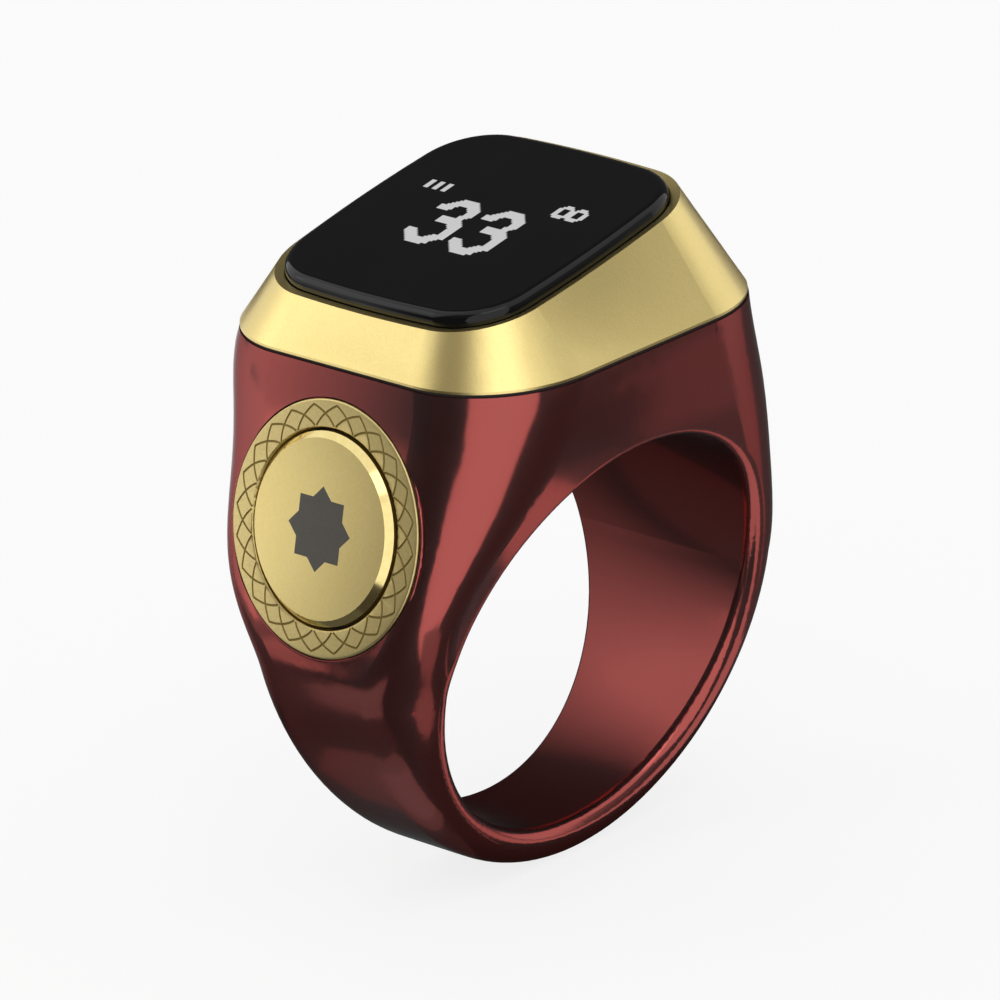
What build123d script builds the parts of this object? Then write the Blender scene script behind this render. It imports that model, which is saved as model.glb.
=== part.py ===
from build123d import *
import math
import os

os.makedirs("parts", exist_ok=True)

# Driving sizes, in millimetres, and angles in degrees.
# The finger bore runs along Y about the origin, the display looks up, the button is on the -X side.

# Finger bore and the band under the finger
finger_bore_diameter = 20.0
front_edge_rounding = 0.65
rear_edge_rounding = 0.15
band_bottom_wall = 1.75
band_side_wall = 3.0
band_bottom_depth = 5.6
band_bottom_corner = 1.05
band_swell_power = 1.5
waist_depth = 11.4
waist_corner = 3.05

# Head of the ring, above the finger
head_height = 14.9
shoulder_width = 19.75
shoulder_depth = 20.05
shoulder_corner = 5.5
bore_roof_wall = 1.2
hollow_width = 16.0
hollow_depth = 16.4
hollow_corner = 3.9

# Head sections from the waist up to the shoulder, as shares of the way
level_shares = (0.27, 0.53, 0.77, 1.0)
far_side_shares = (0.19, 0.53, 0.83, 1.0)
far_corner_shares = (0.11, 0.39, 0.81, 1.0)
button_corner_shares = (-0.3, 0.17, 0.83, 1.0)
depth_shares = (0.29, 0.62, 0.91, 1.0)
waist_start_share = 0.04
band_angles = (0.0, -10.0, -25.0, -45.0, -67.5, -90.0, -112.5, -135.0, -155.0, -170.0, -180.0)

# Cover glass, tilted towards the wearer
display_tilt = 11.0
display_rise = 4.5
display_shift = -0.8
glass_width = 14.2
glass_bow = 0.42
glass_corner = 3.4
glass_thickness = 1.1
glass_edge_rounding = 0.5
glass_proud = 0.56
glass_clearance = 0.06
glass_bond_thickness = 0.12
glass_bond_margin = 0.12
glass_bond_width = 0.7

# Gold bezel between the head and the glass
bezel_inset = 0.04
bezel_band_height = 0.12
bezel_lip_width = 0.42
bezel_groove_depth = 0.08
bezel_ledge_width = 1.05
bezel_ledge_thickness = 0.8
bezel_ledge_root = 0.3
tongue_length = 1.1
tongue_wall = 0.7
tongue_clearance = 0.05
gasket_thickness = 0.15
gasket_inset = 0.1

# Lit panel, its ribbon and its connector
panel_width = 10.4
panel_depth = 11.2
panel_thickness = 0.9
panel_bond_margin = 0.3
ribbon_thickness = 0.12
display_ribbon_width = 4.0
display_ribbon_bend = 0.28
display_ribbon_wall_gap = 0.58
display_ribbon_bond = 0.8
connector_width = 1.6
connector_depth = 4.4
connector_height = 0.7
connector_edge_gap = 0.2

# Circuit board, its chips and its screws
board_clearance = 0.4
board_thickness = 0.6
chip_gap = 0.25
controller_size = 3.0
controller_height = 0.8
crystal_width = 2.0
crystal_depth = 1.6
crystal_height = 0.6
crystal_y = 2.2
antenna_width = 3.2
antenna_depth = 1.6
antenna_height = 1.0
antenna_x = -1.5
antenna_edge_gap = 0.25
component_length = 0.6
component_width = 1.0
component_height = 0.5
component_pitch = 1.3
component_count = 7
component_edge_gap = 0.9
screw_thread_diameter = 0.9
screw_thread_length = 2.4
screw_hole_spare = 0.15
screw_head_diameter = 1.6
screw_head_height = 0.4
screw_slot_width = 0.3
screw_slot_depth = 0.2
screw_edge_gap = 0.8
screw_end_gap = 2.45

# Vibration motor
motor_diameter = 6.0
motor_height = 2.0
motor_rounding = 0.3
motor_edge_gap = 0.75
motor_y = 0.5
motor_pad_thickness = 0.1
motor_pad_margin = 0.4

# Battery, its tray and what joins it to the board
tray_clearance = 0.2
tray_height = 2.55
tray_wall = 2.6
tray_end_wall = 1.7
bay_corner = 0.8
battery_gap = 0.2
battery_thickness = 2.0
battery_rounding = 0.35
battery_pad_thickness = 0.2
protection_depth = 1.6
protection_thickness = 0.6
tab_width = 1.2
tab_length = 0.7
tab_thickness = 0.1
battery_pin_diameter = 0.8
battery_pin_spacing = 5.0
ribbon_notch_width = 3.0
switch_notch_wall = 0.6
charge_notch_wall = 0.8

# Charging studs in the roof of the finger bore
contact_spacing = 4.4
contact_head_diameter = 2.1
contact_head_thickness = 0.5
contact_pin_diameter = 1.1
contact_recess = 0.08
insulator_wall = 0.4
charge_ribbon_width = 2.4
charge_ribbon_bend = 0.4
charge_plate_width = 3.6
charge_plate_depth = 7.2

# Round push button on the sloping side
button_tilt = 15.0
button_height = 7.85
seat_inset = 0.03
seat_width = 0.2
seat_height = 2.6
seat_rounding = 0.1
trim_diameter = 11.95
trim_inner_diameter = 9.3
trim_thickness = 0.9
trim_proud = 0.1
trim_rounding = 0.1
trim_clearance = 0.07
trim_bond_thickness = 0.1
trim_bond_width = 0.6
button_gap = 0.15
button_thickness = 1.07
button_proud = 0.42
button_bevel = 0.3
button_travel = 0.3
inlay_radius = 2.0
inlay_thickness = 0.1
neck_setback = 0.2
flange_overlap = 0.3
flange_thickness = 0.35
flange_play = 0.05
well_clearance = 0.15
well_floor_spare = 0.2
stem_diameter = 1.6
return_ring_width = 0.8
return_ring_setback = 0.75

# Tactile switch behind the button
plunger_diameter = 1.3
plunger_gap = 0.03
plunger_proud_spare = 0.1
plunger_length = 0.7
plunger_clearance = 0.05
switch_length = 2.6
switch_depth = 2.8
switch_floor = 0.12
switch_clearance = 0.2
dome_thickness = 0.06
dome_clearance = 0.06
dome_flat_room = 0.08
switch_ribbon_thickness = 0.15
switch_ribbon_width = 2.4
switch_ribbon_bend = 0.4
ribbon_slot_width = 2.8
ribbon_slot_depth = 0.9
ribbon_slot_spare = 0.3

# Extra length of every cutting tool past the faces that it opens
overrun = 0.5

# How closely an edge follows the bore to count as one of its edges
edge_match_share = 0.0001
edge_point_shares = (0, 0.5, 1)

# Sizes worked out from the driving ones
bore_radius = finger_bore_diameter / 2
waist_radius = bore_radius + band_side_wall
band_bottom_radius = bore_radius + band_bottom_wall
hollow_floor = bore_radius + bore_roof_wall
bezel_bottom = head_height + gasket_thickness
glass_top = head_height + display_rise
pocket_width = glass_width + 2 * glass_clearance
pocket_corner = glass_corner + glass_clearance
lip_width = pocket_width + 2 * bezel_lip_width
lip_corner = pocket_corner + bezel_lip_width
aperture_width = pocket_width - 2 * bezel_ledge_width
aperture_corner = pocket_corner - bezel_ledge_width
panel_top = -glass_thickness - glass_bond_thickness
ledge_bottom = panel_top - bezel_ledge_thickness
tongue_width = hollow_width - 2 * tongue_clearance
tongue_depth = hollow_depth - 2 * tongue_clearance
panel_bottom = panel_top - panel_thickness
tongue_bottom = bezel_bottom - tongue_length
tray_top = hollow_floor + tray_height
board_top = tray_top + board_thickness
throat_width = tongue_width - 2 * tongue_wall
throat_depth = tongue_depth - 2 * tongue_wall
throat_corner = hollow_corner - tongue_clearance - tongue_wall
board_width = throat_width - 2 * board_clearance
board_depth = throat_depth - 2 * board_clearance
connector_x = connector_edge_gap + (connector_width - board_width) / 2
chip_row_start = connector_x + connector_width / 2 + chip_gap
component_y = component_edge_gap + (component_width - board_depth) / 2
controller_y = component_y + component_width / 2 + chip_gap + controller_size / 2
motor_x = (board_width - motor_diameter) / 2 - motor_edge_gap
tray_width = hollow_width - 2 * tray_clearance
tray_depth = hollow_depth - 2 * tray_clearance
bay_width = tray_width - 2 * tray_wall
bay_depth = tray_depth - 2 * tray_end_wall
battery_bottom = hollow_floor + ribbon_thickness + battery_pad_thickness
battery_half_width = bay_width / 2 - battery_gap
battery_half_depth = bay_depth / 2 - battery_gap
protection_top = battery_bottom + protection_thickness
cell_end = battery_half_depth - protection_depth - battery_gap
battery_pin_y = battery_half_depth - battery_pin_diameter
contact_head_top = bore_radius + contact_recess + contact_head_thickness
button_side_slope = math.tan(math.radians(button_tilt))
button_radius = trim_inner_diameter / 2 - button_gap
flange_radius = trim_inner_diameter / 2 + flange_overlap
trim_bottom = trim_proud - trim_thickness
recess_floor = trim_bottom - trim_bond_thickness
button_back = button_proud - button_thickness
flange_top = trim_bottom - flange_play
flange_bottom = flange_top - flange_thickness
well_floor = flange_bottom - button_travel - well_floor_spare
plunger_bottom = well_floor - plunger_length
switch_top = well_floor - button_travel - plunger_proud_spare
switch_bore_floor = plunger_bottom - button_travel - dome_flat_room
switch_bottom = switch_bore_floor - switch_floor
ribbon_floor = switch_bottom - switch_ribbon_thickness
stem_bottom = well_floor + plunger_gap


def button_side_at(height):
    return shoulder_width / 2 + (head_height - height) * button_side_slope


def tilted_plane(origin, tilt):
    slope = math.radians(tilt)
    along = (math.cos(slope), 0, math.sin(slope))
    outward = (-math.sin(slope), 0, math.cos(slope))
    return Plane(origin, x_dir=along, z_dir=outward)


display_plane = tilted_plane((display_shift, 0, glass_top), display_tilt)
button_centre = (seat_inset - button_side_at(button_height), 0, button_height)
button_plane = tilted_plane(button_centre, 90 - button_tilt)


def plate(width, depth, corner, bottom, top):
    return Pos(0, 0, bottom) * extrude(RectangleRounded(width, depth, corner), top - bottom)


def cushion(width, depth, corner, bow):
    right, back = width / 2, depth / 2
    corners = ((right, -back), (right, back), (-right, back), (-right, -back))
    middles = ((right + bow, 0), (0, back + bow), (-right - bow, 0), (0, -back - bow))
    ends = corners[1:] + corners[:1]
    face = make_face([ThreePointArc(*points) for points in zip(corners, middles, ends)])
    return fillet(face.vertices(), corner)


def block(width, depth, bottom, top):
    return Pos(0, 0, bottom) * extrude(Rectangle(width, depth), top - bottom)


def disc(radius, bottom, top):
    return Pos(0, 0, bottom) * extrude(Circle(radius), top - bottom)


def washer(radius, inner_radius, bottom, top):
    return disc(radius, bottom, top) - disc(inner_radius, bottom, top)


def ribbon(points, bend, thickness, width):
    path = FilletPolyline(*points, radius=bend)
    return extrude(Plane.XZ * trace(path, thickness), width / 2, both=True)


def finger_bore(radius):
    return Rot(90, 0, 0) * Cylinder(radius, shoulder_depth + 2 * overrun)


# Ring body
def half_depth_at(height):
    return (waist_depth + (waist_depth - band_bottom_depth) * height / band_bottom_radius) / 2


def band_section(angle):
    turn = math.radians(angle)
    lift = 1 + math.sin(turn)
    inner = bore_radius - overrun
    outer = band_bottom_radius + (waist_radius - band_bottom_radius) * lift**band_swell_power
    corner = band_bottom_corner + (waist_corner - band_bottom_corner) * lift
    inner_half = half_depth_at(inner * math.sin(turn))
    outer_half = half_depth_at(outer * math.sin(turn))
    corners = ((inner, -inner_half), (outer, -outer_half), (outer, outer_half), (inner, inner_half))
    face = make_face(Polyline(*corners, close=True))
    rounded = fillet(face.vertices().sort_by(Axis.X)[-2:], corner)
    return tilted_plane((0, 0, 0), angle) * rounded


def head_section(height, button_side, far_side, depth, button_corner, far_corner):
    face = Rectangle(button_side + far_side, depth)
    face = fillet(face.vertices().group_by(Axis.X)[0], button_corner)
    face = fillet(face.vertices().group_by(Axis.X)[-1], far_corner)
    return Pos((far_side - button_side) / 2, 0, height) * face


def head_sections():
    start = waist_start_share * head_height
    side_growth = band_swell_power * (waist_radius - band_bottom_radius)
    start_side = waist_radius + side_growth * start / waist_radius
    start_corner = waist_corner + (waist_corner - band_bottom_corner) * start / waist_radius
    start_depth = 2 * half_depth_at(start)
    sections = [head_section(0, waist_radius, waist_radius, waist_depth, waist_corner, waist_corner)]
    sections.append(head_section(start, start_side, start_side, start_depth, start_corner, start_corner))
    shares = zip(level_shares, far_side_shares, depth_shares, button_corner_shares, far_corner_shares)
    corner_growth = shoulder_corner - waist_corner
    for level, far_share, depth_share, button_corner_share, far_corner_share in shares:
        height = level * head_height
        far_side = waist_radius + far_share * (shoulder_width / 2 - waist_radius)
        depth = waist_depth + depth_share * (shoulder_depth - waist_depth)
        button_corner = waist_corner + button_corner_share * corner_growth
        far_corner = waist_corner + far_corner_share * corner_growth
        button_side = button_side_at(height)
        sections.append(head_section(height, button_side, far_side, depth, button_corner, far_corner))
    return sections


def button_seat():
    seat = disc(trim_diameter / 2 + seat_width, -seat_height, 0)
    rim = seat.edges().group_by(Axis.Z)[-1]
    return button_plane * fillet(rim, seat_rounding)


def bore_edges(body, side):
    chosen = []
    for edge in body.edges().filter_by(GeomType.LINE, reverse=True):
        points = [edge @ share for share in edge_point_shares]
        strays = [abs(math.hypot(point.X, point.Z) - bore_radius) for point in points]
        if max(strays) < bore_radius * edge_match_share and all(point.Y * side > 0 for point in points):
            chosen.append(edge)
    return chosen


def button_cuts():
    recess = disc(trim_diameter / 2 + trim_clearance, recess_floor, overrun)
    well = disc(flange_radius + well_clearance, well_floor, 0)
    pit_length = switch_length + 2 * switch_clearance
    pit = block(pit_length, switch_depth + 2 * switch_clearance, ribbon_floor, well_floor + overrun)
    slot_length = switch_ribbon_rise() + ribbon_slot_spare
    slot = block(slot_length, ribbon_slot_width, ribbon_floor, ribbon_floor + ribbon_slot_depth)
    return button_plane * (recess + well + pit + Pos(slot_length / 2, 0, 0) * slot)


def switch_ribbon_landing():
    return tray_top - switch_ribbon_thickness / 2


def switch_ribbon_point(rise):
    return button_plane.from_local_coords(Vector(rise, 0, ribbon_floor + switch_ribbon_thickness / 2))


def switch_ribbon_rise():
    return (switch_ribbon_landing() - switch_ribbon_point(0).Z) / button_plane.x_dir.Z


def switch_tail_end():
    return -bay_width / 2 - switch_notch_wall - tray_clearance


def tail_passage():
    start = switch_ribbon_point(switch_ribbon_rise()).X
    length = switch_tail_end() - start
    bottom = tray_top - ribbon_slot_depth
    return Pos(start + length / 2, 0, 0) * block(length, ribbon_slot_width, bottom, head_height)


def contact_places():
    return [Pos(0, side * contact_spacing / 2, 0) for side in (-1, 1)]


def ring_body():
    band = loft([band_section(angle) for angle in band_angles])
    body = loft(head_sections()) + band + button_seat() - finger_bore(bore_radius)
    body = fillet(bore_edges(body, -1), front_edge_rounding)
    body = fillet(bore_edges(body, 1), rear_edge_rounding)
    body -= plate(hollow_width, hollow_depth, hollow_corner, hollow_floor, head_height + overrun)
    body -= button_cuts() + tail_passage()
    for place in contact_places():
        body -= place * disc(contact_head_diameter / 2 + insulator_wall, 0, hollow_floor + overrun)
    return body


# Bezel, seal, glass and display
def bezel_gasket():
    outer = plate(shoulder_width - 2 * gasket_inset, shoulder_depth - 2 * gasket_inset,
                  shoulder_corner - gasket_inset, head_height, bezel_bottom)
    return outer - plate(hollow_width, hollow_depth, hollow_corner, head_height, bezel_bottom)


def lip_face():
    return display_plane * Pos(0, 0, -glass_proud) * cushion(lip_width, lip_width, lip_corner, glass_bow)


def bezel_outside():
    base_width = shoulder_width - 2 * bezel_inset
    base_depth = shoulder_depth - 2 * bezel_inset
    base_corner = shoulder_corner - bezel_inset
    band_top = bezel_bottom + bezel_band_height
    base = Pos(0, 0, band_top) * RectangleRounded(base_width, base_depth, base_corner)
    wedge = loft([base, lip_face()], ruled=True)
    tongue_corner = hollow_corner - tongue_clearance
    tongue = plate(tongue_width, tongue_depth, tongue_corner, tongue_bottom, bezel_bottom)
    return plate(base_width, base_depth, base_corner, bezel_bottom, band_top) + wedge + tongue


def bezel_inside():
    throat = RectangleRounded(throat_width, throat_depth, throat_corner)
    ceiling_width = glass_width - 2 * bezel_ledge_root
    ceiling = RectangleRounded(ceiling_width, ceiling_width, glass_corner - bezel_ledge_root)
    tilted_ceiling = display_plane * Pos(0, 0, ledge_bottom) * ceiling
    room = loft([Pos(0, 0, bezel_bottom) * throat, tilted_ceiling], ruled=True)
    return room + Pos(0, 0, tongue_bottom) * extrude(throat, tongue_length)


def glass_pocket():
    aperture = plate(aperture_width, aperture_width, aperture_corner, ledge_bottom, 0)
    outline = cushion(pocket_width, pocket_width, pocket_corner, glass_bow)
    pocket = Pos(0, 0, panel_top) * extrude(outline, -panel_top)
    groove_floor = display_plane * Pos(0, 0, -glass_proud - bezel_groove_depth) * outline
    return display_plane * (aperture + pocket) + loft([groove_floor, lip_face()], ruled=True)


def display_bezel():
    return bezel_outside() - bezel_inside() - glass_pocket()


def display_glass():
    outline = cushion(glass_width, glass_width, glass_corner, glass_bow)
    glass = Pos(0, 0, -glass_thickness) * extrude(outline, glass_thickness)
    return display_plane * fillet(glass.edges().group_by(Axis.Z)[-1], glass_edge_rounding)


def glass_adhesive():
    outer_width = glass_width - 2 * glass_bond_margin
    inner_width = outer_width - 2 * glass_bond_width
    outer_corner = glass_corner - glass_bond_margin
    inner_corner = outer_corner - glass_bond_width
    outer = plate(outer_width, outer_width, outer_corner, panel_top, -glass_thickness)
    inner = plate(inner_width, inner_width, inner_corner, panel_top, -glass_thickness)
    return display_plane * (outer - inner)


def optical_adhesive():
    bond_width = panel_width - 2 * panel_bond_margin
    bond_depth = panel_depth - 2 * panel_bond_margin
    return display_plane * block(bond_width, bond_depth, panel_top, -glass_thickness)


def oled_panel():
    return display_plane * block(panel_width, panel_depth, panel_bottom, panel_top)


def on_board(x, y, width, depth, height):
    return Pos(x, y, 0) * block(width, depth, board_top, board_top + height)


def display_connector():
    return on_board(connector_x, 0, connector_width, connector_depth, connector_height)


def display_ribbon():
    level = panel_bottom - ribbon_thickness / 2
    start = display_plane.from_local_coords(Vector(display_ribbon_bond - panel_width / 2, 0, level))
    drop_x = display_ribbon_wall_gap - throat_width / 2
    drop_top = start.Z + (drop_x - start.X) * math.tan(math.radians(display_tilt))
    landing = board_top + connector_height + ribbon_thickness / 2
    end_x = connector_x + connector_width / 2
    points = ((start.X, start.Z), (drop_x, drop_top), (drop_x, landing), (end_x, landing))
    return ribbon(points, display_ribbon_bend, ribbon_thickness, display_ribbon_width)


# Circuit board
def screw_places():
    half_x = board_width / 2 - screw_edge_gap
    half_y = board_depth / 2 - screw_end_gap
    return [Pos(x, y, 0) for x in (-half_x, half_x) for y in (-half_y, half_y)]


def main_board():
    board = plate(board_width, board_depth, throat_corner, tray_top, board_top)
    for place in screw_places():
        board -= place * disc(screw_thread_diameter / 2, tray_top, board_top)
    return board


def board_screw():
    head_top = board_top + screw_head_height
    screw = disc(screw_head_diameter / 2, board_top, head_top)
    screw += disc(screw_thread_diameter / 2, board_top - screw_thread_length, board_top)
    return screw - block(screw_head_diameter, screw_slot_width, head_top - screw_slot_depth, head_top)


def controller_chip():
    x = chip_row_start + controller_size / 2
    return on_board(x, controller_y, controller_size, controller_size, controller_height)


def crystal():
    x = chip_row_start + crystal_width / 2
    return on_board(x, crystal_y, crystal_width, crystal_depth, crystal_height)


def chip_antenna():
    y = (board_depth - antenna_depth) / 2 - antenna_edge_gap
    return on_board(antenna_x, y, antenna_width, antenna_depth, antenna_height)


def board_components():
    middle = (component_count - 1) / 2
    places = [(number - middle) * component_pitch for number in range(component_count)]
    return [on_board(x, component_y, component_length, component_width, component_height) for x in places]


def motor_pad():
    pad_radius = motor_diameter / 2 - motor_pad_margin
    return Pos(motor_x, motor_y, 0) * disc(pad_radius, board_top, board_top + motor_pad_thickness)


def vibration_motor():
    bottom = board_top + motor_pad_thickness
    motor = disc(motor_diameter / 2, bottom, bottom + motor_height)
    return Pos(motor_x, motor_y, 0) * fillet(motor.edges().group_by(Axis.Z)[-1], motor_rounding)


# Battery and charging
def notch(outer_x, inner_x):
    opening = block(abs(outer_x - inner_x), ribbon_notch_width, hollow_floor, tray_top)
    return Pos((outer_x + inner_x) / 2, 0, 0) * opening


def battery_tray():
    tray = plate(tray_width, tray_depth, hollow_corner - tray_clearance, hollow_floor, tray_top)
    tray -= plate(bay_width, bay_depth, bay_corner, hollow_floor, tray_top)
    tray -= notch(-tray_width / 2, -bay_width / 2 - switch_notch_wall)
    tray -= notch(tray_width / 2 - charge_notch_wall, bay_width / 2)
    thread_bottom = board_top - screw_thread_length - screw_hole_spare
    for place in screw_places():
        tray -= place * disc(screw_thread_diameter / 2, thread_bottom, tray_top)
    return tray


def battery_pad():
    pad_bottom = battery_bottom - battery_pad_thickness
    return block(2 * battery_half_width, 2 * battery_half_depth, pad_bottom, battery_bottom)


def battery_cell():
    length = cell_end + battery_half_depth
    cell = block(2 * battery_half_width, length, battery_bottom, battery_bottom + battery_thickness)
    return Pos(0, cell_end - length / 2, 0) * fillet(cell.edges().filter_by(Axis.Y), battery_rounding)


def protection_board():
    middle = battery_half_depth - protection_depth / 2
    board = block(2 * battery_half_width, protection_depth, battery_bottom, protection_top)
    return Pos(0, middle, 0) * board


def battery_sides():
    return [side * battery_pin_spacing / 2 for side in (-1, 1)]


def battery_tabs():
    tab = block(tab_width, tab_length, protection_top, protection_top + tab_thickness)
    return [Pos(x, cell_end + tab_length / 2, 0) * tab for x in battery_sides()]


def battery_pins():
    pin = disc(battery_pin_diameter / 2, protection_top, tray_top)
    return [Pos(x, battery_pin_y, 0) * pin for x in battery_sides()]


def charge_contacts():
    pin_top = hollow_floor + ribbon_thickness
    stud = disc(contact_head_diameter / 2, 0, contact_head_top)
    stud += disc(contact_pin_diameter / 2, 0, pin_top)
    return [place * stud - finger_bore(bore_radius + contact_recess) for place in contact_places()]


def contact_insulators():
    sleeve = disc(contact_head_diameter / 2 + insulator_wall, 0, hollow_floor)
    sleeve -= disc(contact_head_diameter / 2, 0, contact_head_top)
    sleeve -= disc(contact_pin_diameter / 2, 0, hollow_floor)
    return [place * sleeve - finger_bore(bore_radius) for place in contact_places()]


def charge_ribbon():
    low = hollow_floor + ribbon_thickness / 2
    high = tray_top - ribbon_thickness / 2
    riser_x = bay_width / 2 + charge_ribbon_bend
    tail_end = tray_width / 2 - charge_notch_wall - tray_clearance
    points = ((0, low), (riser_x, low), (riser_x, high), (tail_end, high))
    tail = ribbon(points, charge_ribbon_bend, ribbon_thickness, charge_ribbon_width)
    top = hollow_floor + ribbon_thickness
    sheet = block(charge_plate_width, charge_plate_depth, hollow_floor, top) + tail
    for place in contact_places():
        sheet -= place * disc(contact_pin_diameter / 2, hollow_floor, top)
    return sheet


# Button and switch
def trim_ring():
    ring = washer(trim_diameter / 2, trim_inner_diameter / 2, trim_bottom, trim_proud)
    return button_plane * fillet(ring.edges().group_by(Axis.Z)[-1], trim_rounding)


def trim_adhesive():
    outer = trim_diameter / 2
    return button_plane * washer(outer, outer - trim_bond_width, recess_floor, trim_bottom)


def star(radius, bottom, top):
    side = radius * math.sqrt(2)
    return block(side, side, bottom, top) + Rot(0, 0, 45) * block(side, side, bottom, top)


def button_disc():
    cap = disc(button_radius, button_back, button_proud)
    cap = chamfer(cap.edges().group_by(Axis.Z)[-1], button_bevel)
    return button_plane * (cap - star(inlay_radius, button_proud - inlay_thickness, button_proud))


def button_inlay():
    return button_plane * star(inlay_radius, button_proud - inlay_thickness, button_proud)


def button_actuator():
    actuator = disc(button_radius - neck_setback, flange_top, button_back)
    actuator += disc(flange_radius, flange_bottom, flange_top)
    actuator += disc(stem_diameter / 2, stem_bottom, flange_bottom)
    return button_plane * actuator


def return_ring():
    outer = flange_radius - return_ring_setback
    return button_plane * washer(outer, outer - return_ring_width, well_floor, flange_bottom)


def switch_base():
    base = block(switch_length, switch_depth, switch_bottom, switch_top)
    guide_radius = plunger_diameter / 2 + plunger_clearance
    return button_plane * (base - disc(guide_radius, switch_bore_floor, switch_top))


def switch_plunger():
    return button_plane * disc(plunger_diameter / 2, plunger_bottom, well_floor)


def dome_shell(radius, rise):
    ball = (radius**2 + rise**2) / (2 * rise)
    return Pos(0, 0, rise - ball) * Sphere(ball) & disc(radius, 0, rise)


def switch_dome():
    radius = plunger_diameter / 2
    rise = plunger_bottom - switch_bore_floor - dome_clearance
    shell = dome_shell(radius, rise) - dome_shell(radius - dome_thickness, rise - dome_thickness)
    return button_plane * Pos(0, 0, switch_bore_floor) * shell


def switch_ribbon():
    start = switch_ribbon_point(-switch_length / 2)
    bend = switch_ribbon_point(switch_ribbon_rise())
    landing = switch_ribbon_landing()
    points = ((start.X, start.Z), (bend.X, landing), (switch_tail_end(), landing))
    return ribbon(points, switch_ribbon_bend, switch_ribbon_thickness, switch_ribbon_width)


pieces = {
    "ring_body": ring_body(),
    "bezel_gasket": bezel_gasket(),
    "display_bezel": display_bezel(),
    "glass_adhesive": glass_adhesive(),
    "display_glass": display_glass(),
    "optical_adhesive": optical_adhesive(),
    "oled_panel": oled_panel(),
    "display_ribbon": display_ribbon(),
    "display_connector": display_connector(),
    "main_board": main_board(),
    "controller_chip": controller_chip(),
    "crystal": crystal(),
    "chip_antenna": chip_antenna(),
    "board_components": board_components(),
    "board_screws": [place * board_screw() for place in screw_places()],
    "motor_pad": motor_pad(),
    "vibration_motor": vibration_motor(),
    "battery_tray": battery_tray(),
    "battery_pad": battery_pad(),
    "battery_cell": battery_cell(),
    "protection_board": protection_board(),
    "battery_tabs": battery_tabs(),
    "battery_pins": battery_pins(),
    "charge_contacts": charge_contacts(),
    "contact_insulators": contact_insulators(),
    "charge_ribbon": charge_ribbon(),
    "trim_ring": trim_ring(),
    "trim_adhesive": trim_adhesive(),
    "button_disc": button_disc(),
    "button_inlay": button_inlay(),
    "button_actuator": button_actuator(),
    "return_ring": return_ring(),
    "switch_base": switch_base(),
    "switch_plunger": switch_plunger(),
    "switch_dome": switch_dome(),
    "switch_ribbon": switch_ribbon(),
}

for name, piece in pieces.items():
    solids = Compound(children=piece) if isinstance(piece, list) else piece
    export_step(solids, f"parts/{name}.step")
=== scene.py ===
import math
import bpy
from mathutils import Matrix, Vector


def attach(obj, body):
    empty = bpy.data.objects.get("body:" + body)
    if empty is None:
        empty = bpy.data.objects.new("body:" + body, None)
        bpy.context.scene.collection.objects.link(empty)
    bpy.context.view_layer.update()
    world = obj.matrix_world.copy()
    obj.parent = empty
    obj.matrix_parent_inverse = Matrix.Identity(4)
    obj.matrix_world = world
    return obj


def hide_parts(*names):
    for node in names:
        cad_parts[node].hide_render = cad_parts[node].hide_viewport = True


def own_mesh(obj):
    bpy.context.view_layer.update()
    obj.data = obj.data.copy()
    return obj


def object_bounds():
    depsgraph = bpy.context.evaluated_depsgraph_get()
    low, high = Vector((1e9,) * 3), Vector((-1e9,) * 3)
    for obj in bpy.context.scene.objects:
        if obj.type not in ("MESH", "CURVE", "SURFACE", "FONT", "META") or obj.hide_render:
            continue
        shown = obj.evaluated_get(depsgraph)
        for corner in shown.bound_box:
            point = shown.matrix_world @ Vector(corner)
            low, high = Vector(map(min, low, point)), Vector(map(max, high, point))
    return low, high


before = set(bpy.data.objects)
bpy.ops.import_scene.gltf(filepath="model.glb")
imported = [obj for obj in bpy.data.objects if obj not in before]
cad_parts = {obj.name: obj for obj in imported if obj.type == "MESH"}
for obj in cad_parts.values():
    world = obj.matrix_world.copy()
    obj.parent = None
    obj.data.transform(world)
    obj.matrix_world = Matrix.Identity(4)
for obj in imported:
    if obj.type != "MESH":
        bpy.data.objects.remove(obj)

cad_low, cad_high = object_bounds()

# Everything is in metres, in the frame of the finger ring: the finger goes through along Y,
# the display looks up and the push button is on the -X side.
MM = 0.001

# Place of the push button: its centre, the way up its slope, across it, and straight out of it
BUTTON_CENTRE = Vector((-11.734, 0.0, 7.85)) * MM
BUTTON_TILT = math.radians(15.0)
BUTTON_UP = Vector((math.sin(BUTTON_TILT), 0.0, math.cos(BUTTON_TILT)))
BUTTON_ACROSS = Vector((0.0, 1.0, 0.0))
BUTTON_OUT = Vector((-math.cos(BUTTON_TILT), 0.0, math.sin(BUTTON_TILT)))

# Place of the display: the middle of the glass face, the way the writing runs, its up, and straight out
DISPLAY_CENTRE = Vector((-0.8, 0.0, 19.4)) * MM
DISPLAY_TILT = math.radians(11.0)
WRITING_RIGHT = Vector((0.0, -1.0, 0.0))
WRITING_UP = Vector((math.cos(DISPLAY_TILT), 0.0, math.sin(DISPLAY_TILT)))
DISPLAY_OUT = Vector((-math.sin(DISPLAY_TILT), 0.0, math.cos(DISPLAY_TILT)))


def linear(hex_colour):
    """An sRGB hex colour as linear red, green, blue and alpha."""
    shares = [int(hex_colour[i:i + 2], 16) / 255 for i in (1, 3, 5)]
    return [s / 12.92 if s <= 0.04045 else ((s + 0.055) / 1.055) ** 2.4 for s in shares] + [1.0]


# A Mix node's sockets by number, because their names repeat: those for numbers and those for colours
NUMBER_A, NUMBER_B, NUMBER_RESULT = 2, 3, 0
COLOUR_A, COLOUR_B, COLOUR_RESULT = 6, 7, 2


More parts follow.
